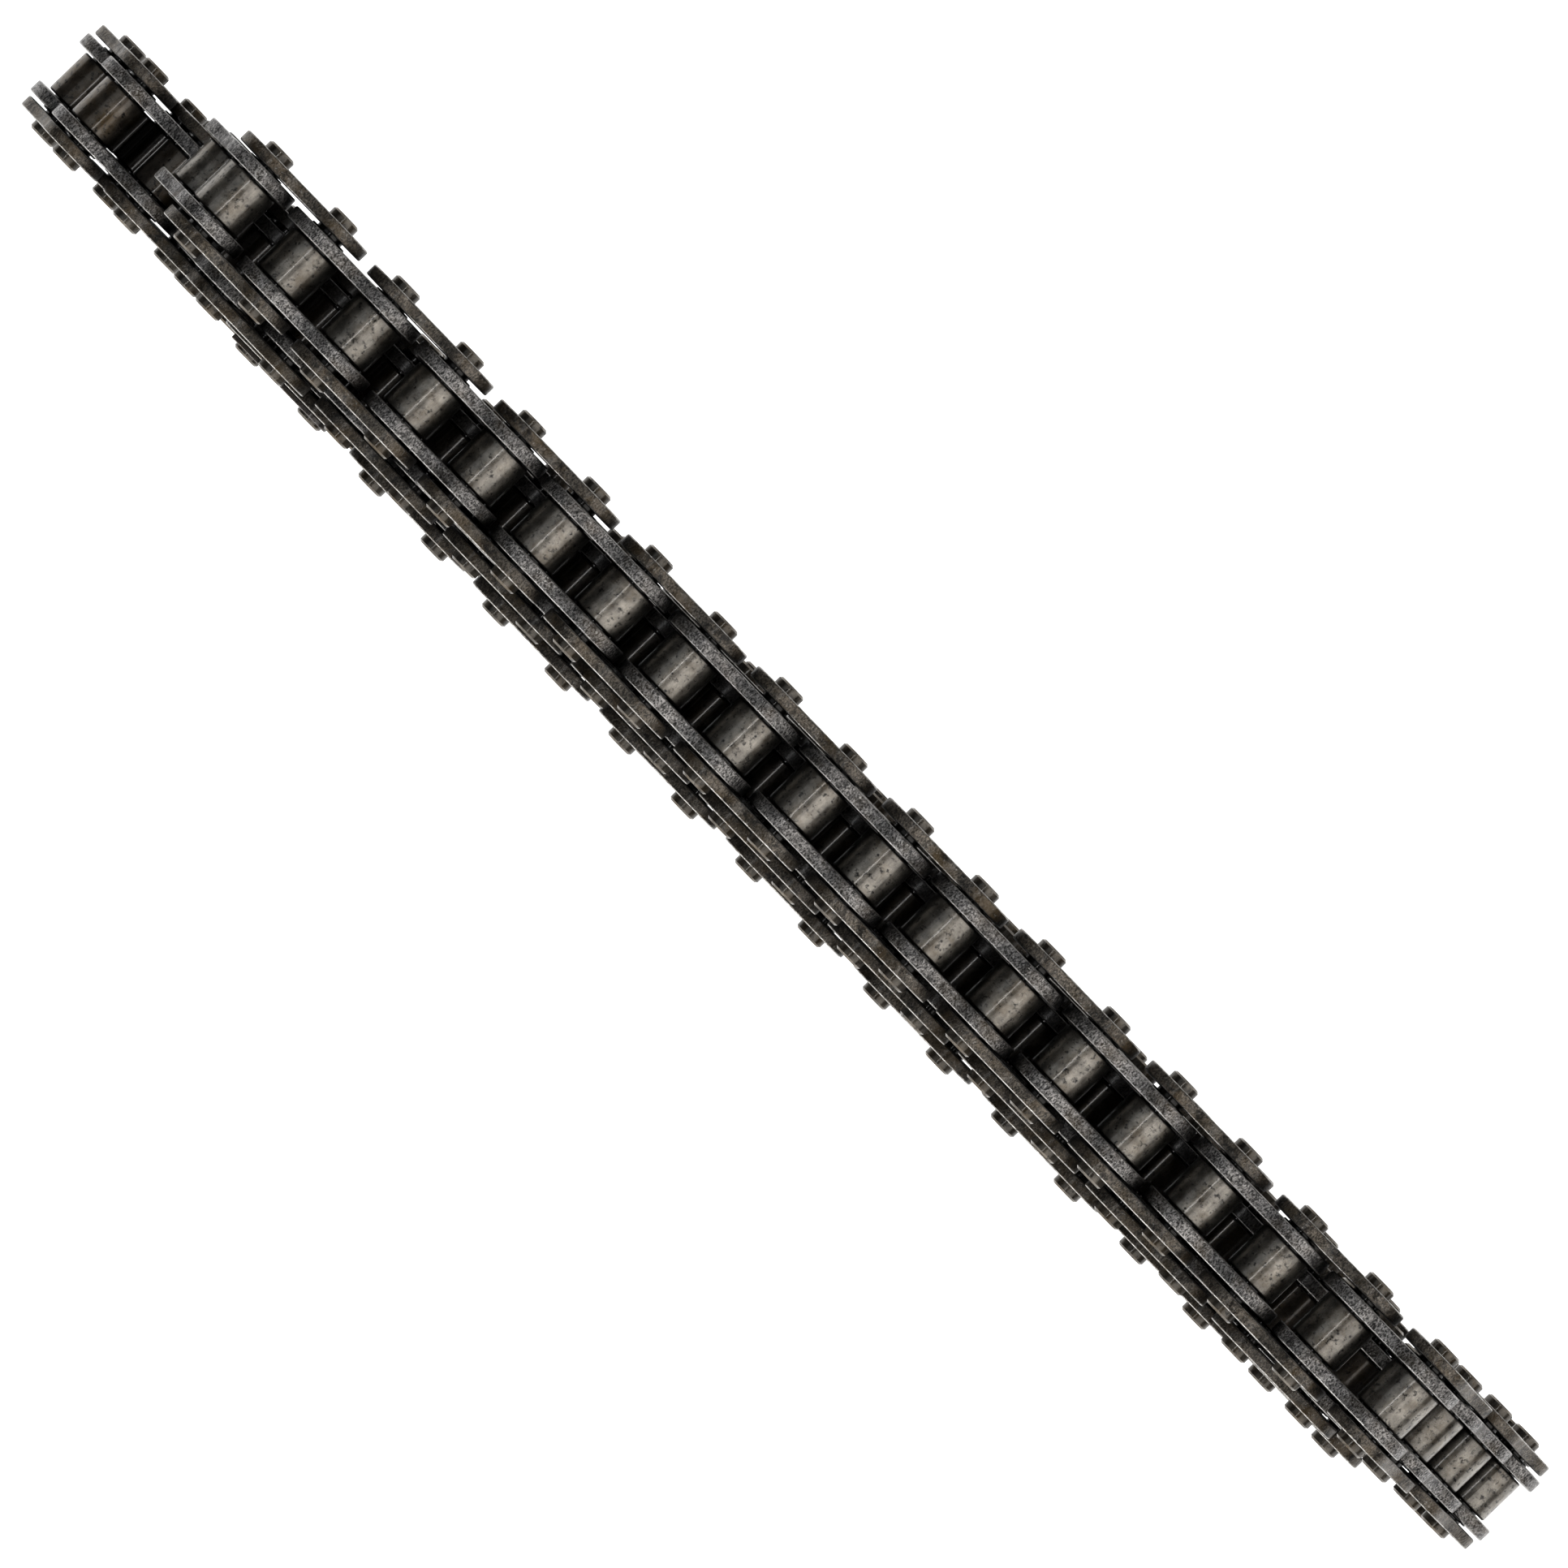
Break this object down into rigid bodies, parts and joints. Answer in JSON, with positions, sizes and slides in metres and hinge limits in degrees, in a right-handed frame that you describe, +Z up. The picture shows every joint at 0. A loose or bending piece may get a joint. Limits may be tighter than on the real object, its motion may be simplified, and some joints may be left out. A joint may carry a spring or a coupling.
{
  "type": "roller chain",
  "caption": "Steel roller chain for a drive sprocket, folded flat in stacked strands, with a spring-clip connecting link at one end and a free inner link at the other.",
  "frame": {"origin": "middle of the folded chain's footprint, on the surface it lies on", "axes": "+X along the strands towards the loop at the right end, +Y along the pins away from the spring clip, +Z up"},
  "size_m": [0.2916, 0.0252, 0.0569],
  "materials": {
    "inner_plate_steel": "dark oiled heat-treated steel, satin",
    "outer_plate_steel": "dark oiled heat-treated steel, satin",
    "roller_steel": "oiled ground steel, darkened, semi-gloss",
    "spring_steel": "blued spring steel"
  },
  "bodies": {
    "folded_strands": {"third_strand_inner_links": "inner_plate_steel", "third_strand_outer_links": "outer_plate_steel", "third_strand_rollers": "roller_steel", "second_strand_inner_links": "inner_plate_steel", "second_strand_outer_links": "outer_plate_steel", "second_strand_rollers": "roller_steel", "bottom_strand_inner_links": "inner_plate_steel", "bottom_strand_outer_links": "outer_plate_steel", "bottom_strand_rollers": "roller_steel", "connecting_link": "outer_plate_steel", "connecting_plate": "outer_plate_steel", "spring_clip": "spring_steel"},
    "inner_link_12": {"inner_link_12": "inner_plate_steel"},
    "outer_link_11": {"outer_link_11": "outer_plate_steel"},
    "inner_link_11": {"inner_link_11": "inner_plate_steel"},
    "outer_link_10": {"outer_link_10": "outer_plate_steel"},
    "inner_link_10": {"inner_link_10": "inner_plate_steel"},
    "outer_link_09": {"outer_link_09": "outer_plate_steel"},
    "inner_link_09": {"inner_link_09": "inner_plate_steel"},
    "outer_link_08": {"outer_link_08": "outer_plate_steel"},
    "inner_link_08": {"inner_link_08": "inner_plate_steel"},
    "outer_link_07": {"outer_link_07": "outer_plate_steel"},
    "inner_link_07": {"inner_link_07": "inner_plate_steel"},
    "outer_link_06": {"outer_link_06": "outer_plate_steel"},
    "inner_link_06": {"inner_link_06": "inner_plate_steel"},
    "outer_link_05": {"outer_link_05": "outer_plate_steel"},
    "inner_link_05": {"inner_link_05": "inner_plate_steel"},
    "outer_link_04": {"outer_link_04": "outer_plate_steel"},
    "inner_link_04": {"inner_link_04": "inner_plate_steel"},
    "outer_link_03": {"outer_link_03": "outer_plate_steel"},
    "inner_link_03": {"inner_link_03": "inner_plate_steel"},
    "outer_link_02": {"outer_link_02": "outer_plate_steel"},
    "inner_link_02": {"inner_link_02": "inner_plate_steel"},
    "outer_link_01": {"outer_link_01": "outer_plate_steel"},
    "inner_link_01": {"inner_link_01": "inner_plate_steel"},
    "roller_23": {"roller_23": "roller_steel"},
    "roller_24": {"roller_24": "roller_steel"},
    "roller_21": {"roller_21": "roller_steel"},
    "roller_22": {"roller_22": "roller_steel"},
    "roller_19": {"roller_19": "roller_steel"},
    "roller_20": {"roller_20": "roller_steel"},
    "roller_17": {"roller_17": "roller_steel"},
    "roller_18": {"roller_18": "roller_steel"},
    "roller_15": {"roller_15": "roller_steel"},
    "roller_16": {"roller_16": "roller_steel"},
    "roller_13": {"roller_13": "roller_steel"},
    "roller_14": {"roller_14": "roller_steel"},
    "roller_11": {"roller_11": "roller_steel"},
    "roller_12": {"roller_12": "roller_steel"},
    "roller_09": {"roller_09": "roller_steel"},
    "roller_10": {"roller_10": "roller_steel"},
    "roller_07": {"roller_07": "roller_steel"},
    "roller_08": {"roller_08": "roller_steel"},
    "roller_05": {"roller_05": "roller_steel"},
    "roller_06": {"roller_06": "roller_steel"},
    "roller_03": {"roller_03": "roller_steel"},
    "roller_04": {"roller_04": "roller_steel"},
    "roller_01": {"roller_01": "roller_steel"},
    "roller_02": {"roller_02": "roller_steel"}
  },
  "joints": [
    {"name": "inner_link_12_hinge", "type": "hinge", "parent": "folded_strands", "child": "inner_link_12", "pos_m": [0.13959, 0.00301, 0.006], "axis": [0, 1, 0], "range_deg": [0, 15]},
    {"name": "outer_link_11_hinge", "type": "hinge", "parent": "inner_link_12", "child": "outer_link_11", "pos_m": [0.13981, 0.00303, 0.0187], "axis": [0, 1, 0], "range_deg": [0, 20]},
    {"name": "inner_link_11_hinge", "type": "hinge", "parent": "outer_link_11", "child": "inner_link_11", "pos_m": [0.1328, 0.00293, 0.02929], "axis": [0, 1, 0], "range_deg": [0, 20]},
    {"name": "outer_link_10_hinge", "type": "hinge", "parent": "inner_link_11", "child": "outer_link_10", "pos_m": [0.1257, 0.00271, 0.03982], "axis": [0, 1, 0], "range_deg": [0, 20]},
    {"name": "inner_link_10_hinge", "type": "hinge", "parent": "outer_link_10", "child": "inner_link_10", "pos_m": [0.11956, 0.00262, 0.05094], "axis": [0, 1, 0], "range_deg": [0, 30]},
    {"name": "outer_link_09_hinge", "type": "hinge", "parent": "inner_link_10", "child": "outer_link_09", "pos_m": [0.10739, 0.00267, 0.04733], "axis": [0, 1, 0], "range_deg": [0, 12]},
    {"name": "inner_link_09_hinge", "type": "hinge", "parent": "outer_link_09", "child": "inner_link_09", "pos_m": [0.09496, 0.00272, 0.04469], "axis": [0, 1, 0], "range_deg": [0, 12]},
    {"name": "outer_link_08_hinge", "type": "hinge", "parent": "inner_link_09", "child": "outer_link_08", "pos_m": [0.08237, 0.00263, 0.04303], "axis": [0, 1, 0], "range_deg": [0, 13]},
    {"name": "inner_link_08_hinge", "type": "hinge", "parent": "outer_link_08", "child": "inner_link_08", "pos_m": [0.06969, 0.00241, 0.0423], "axis": [0, 1, 0], "range_deg": [0, 14]},
    {"name": "outer_link_07_hinge", "type": "hinge", "parent": "inner_link_08", "child": "outer_link_07", "pos_m": [0.05699, 0.00218, 0.0423], "axis": [0, 1, 0], "range_deg": [0, 15]},
    {"name": "inner_link_07_hinge", "type": "hinge", "parent": "outer_link_07", "child": "inner_link_07", "pos_m": [0.04429, 0.00196, 0.0423], "axis": [0, 1, 0], "range_deg": [0, 16]},
    {"name": "outer_link_06_hinge", "type": "hinge", "parent": "inner_link_07", "child": "outer_link_06", "pos_m": [0.03159, 0.00173, 0.0423], "axis": [0, 1, 0], "range_deg": [0, 18]},
    {"name": "inner_link_06_hinge", "type": "hinge", "parent": "outer_link_06", "child": "inner_link_06", "pos_m": [0.01889, 0.00151, 0.0423], "axis": [0, 1, 0], "range_deg": [0, 19]},
    {"name": "outer_link_05_hinge", "type": "hinge", "parent": "inner_link_06", "child": "outer_link_05", "pos_m": [0.00619, 0.00128, 0.0423], "axis": [0, 1, 0], "range_deg": [0, 21]},
    {"name": "inner_link_05_hinge", "type": "hinge", "parent": "outer_link_05", "child": "inner_link_05", "pos_m": [-0.00651, 0.00106, 0.0423], "axis": [0, 1, 0], "range_deg": [0, 23]},
    {"name": "outer_link_04_hinge", "type": "hinge", "parent": "inner_link_05", "child": "outer_link_04", "pos_m": [-0.01921, 0.00103, 0.0423], "axis": [0, 1, 0], "range_deg": [0, 25]},
    {"name": "inner_link_04_hinge", "type": "hinge", "parent": "outer_link_04", "child": "inner_link_04", "pos_m": [-0.03191, 0.00121, 0.0423], "axis": [0, 1, 0], "range_deg": [0, 27]},
    {"name": "outer_link_03_hinge", "type": "hinge", "parent": "inner_link_04", "child": "outer_link_03", "pos_m": [-0.04461, 0.00138, 0.0423], "axis": [0, 1, 0], "range_deg": [0, 30]},
    {"name": "inner_link_03_hinge", "type": "hinge", "parent": "outer_link_03", "child": "inner_link_03", "pos_m": [-0.05731, 0.00156, 0.0423], "axis": [0, 1, 0], "range_deg": [0, 32]},
    {"name": "outer_link_02_hinge", "type": "hinge", "parent": "inner_link_03", "child": "outer_link_02", "pos_m": [-0.07001, 0.00173, 0.0423], "axis": [0, 1, 0], "range_deg": [0, 35]},
    {"name": "inner_link_02_hinge", "type": "hinge", "parent": "outer_link_02", "child": "inner_link_02", "pos_m": [-0.08271, 0.00191, 0.0423], "axis": [0, 1, 0], "range_deg": [0, 37]},
    {"name": "outer_link_01_hinge", "type": "hinge", "parent": "inner_link_02", "child": "outer_link_01", "pos_m": [-0.09541, 0.00208, 0.0423], "axis": [0, 1, 0], "range_deg": [0, 40]},
    {"name": "inner_link_01_hinge", "type": "hinge", "parent": "outer_link_01", "child": "inner_link_01", "pos_m": [-0.10811, 0.00226, 0.0423], "axis": [0, 1, 0], "range_deg": [0, 90]},
    {"name": "roller_23_spin", "type": "hinge", "parent": "inner_link_12", "child": "roller_23", "pos_m": [0.13981, 0.00301, 0.0187], "axis": [0, 1, 0], "continuous": true},
    {"name": "roller_24_spin", "type": "hinge", "parent": "inner_link_12", "child": "roller_24", "pos_m": [0.13959, 0.00301, 0.006], "axis": [0, 1, 0], "continuous": true},
    {"name": "roller_21_spin", "type": "hinge", "parent": "inner_link_11", "child": "roller_21", "pos_m": [0.1257, 0.00293, 0.03982], "axis": [0, 1, 0], "continuous": true},
    {"name": "roller_22_spin", "type": "hinge", "parent": "inner_link_11", "child": "roller_22", "pos_m": [0.1328, 0.00293, 0.02929], "axis": [0, 1, 0], "continuous": true},
    {"name": "roller_19_spin", "type": "hinge", "parent": "inner_link_10", "child": "roller_19", "pos_m": [0.10739, 0.00262, 0.04733], "axis": [0, 1, 0], "continuous": true},
    {"name": "roller_20_spin", "type": "hinge", "parent": "inner_link_10", "child": "roller_20", "pos_m": [0.11956, 0.00262, 0.05094], "axis": [0, 1, 0], "continuous": true},
    {"name": "roller_17_spin", "type": "hinge", "parent": "inner_link_09", "child": "roller_17", "pos_m": [0.08237, 0.00272, 0.04303], "axis": [0, 1, 0], "continuous": true},
    {"name": "roller_18_spin", "type": "hinge", "parent": "inner_link_09", "child": "roller_18", "pos_m": [0.09496, 0.00272, 0.04469], "axis": [0, 1, 0], "continuous": true},
    {"name": "roller_15_spin", "type": "hinge", "parent": "inner_link_08", "child": "roller_15", "pos_m": [0.05699, 0.00241, 0.0423], "axis": [0, 1, 0], "continuous": true},
    {"name": "roller_16_spin", "type": "hinge", "parent": "inner_link_08", "child": "roller_16", "pos_m": [0.06969, 0.00241, 0.0423], "axis": [0, 1, 0], "continuous": true},
    {"name": "roller_13_spin", "type": "hinge", "parent": "inner_link_07", "child": "roller_13", "pos_m": [0.03159, 0.00196, 0.0423], "axis": [0, 1, 0], "continuous": true},
    {"name": "roller_14_spin", "type": "hinge", "parent": "inner_link_07", "child": "roller_14", "pos_m": [0.04429, 0.00196, 0.0423], "axis": [0, 1, 0], "continuous": true},
    {"name": "roller_11_spin", "type": "hinge", "parent": "inner_link_06", "child": "roller_11", "pos_m": [0.00619, 0.00151, 0.0423], "axis": [0, 1, 0], "continuous": true},
    {"name": "roller_12_spin", "type": "hinge", "parent": "inner_link_06", "child": "roller_12", "pos_m": [0.01889, 0.00151, 0.0423], "axis": [0, 1, 0], "continuous": true},
    {"name": "roller_09_spin", "type": "hinge", "parent": "inner_link_05", "child": "roller_09", "pos_m": [-0.01921, 0.00106, 0.0423], "axis": [0, 1, 0], "continuous": true},
    {"name": "roller_10_spin", "type": "hinge", "parent": "inner_link_05", "child": "roller_10", "pos_m": [-0.00651, 0.00106, 0.0423], "axis": [0, 1, 0], "continuous": true},
    {"name": "roller_07_spin", "type": "hinge", "parent": "inner_link_04", "child": "roller_07", "pos_m": [-0.04461, 0.00121, 0.0423], "axis": [0, 1, 0], "continuous": true},
    {"name": "roller_08_spin", "type": "hinge", "parent": "inner_link_04", "child": "roller_08", "pos_m": [-0.03191, 0.00121, 0.0423], "axis": [0, 1, 0], "continuous": true},
    {"name": "roller_05_spin", "type": "hinge", "parent": "inner_link_03", "child": "roller_05", "pos_m": [-0.07001, 0.00156, 0.0423], "axis": [0, 1, 0], "continuous": true},
    {"name": "roller_06_spin", "type": "hinge", "parent": "inner_link_03", "child": "roller_06", "pos_m": [-0.05731, 0.00156, 0.0423], "axis": [0, 1, 0], "continuous": true},
    {"name": "roller_03_spin", "type": "hinge", "parent": "inner_link_02", "child": "roller_03", "pos_m": [-0.09541, 0.00191, 0.0423], "axis": [0, 1, 0], "continuous": true},
    {"name": "roller_04_spin", "type": "hinge", "parent": "inner_link_02", "child": "roller_04", "pos_m": [-0.08271, 0.00191, 0.0423], "axis": [0, 1, 0], "continuous": true},
    {"name": "roller_01_spin", "type": "hinge", "parent": "inner_link_01", "child": "roller_01", "pos_m": [-0.11407, 0.00226, 0.03109], "axis": [0, 1, 0], "continuous": true},
    {"name": "roller_02_spin", "type": "hinge", "parent": "inner_link_01", "child": "roller_02", "pos_m": [-0.10811, 0.00226, 0.0423], "axis": [0, 1, 0], "continuous": true}
  ]
}
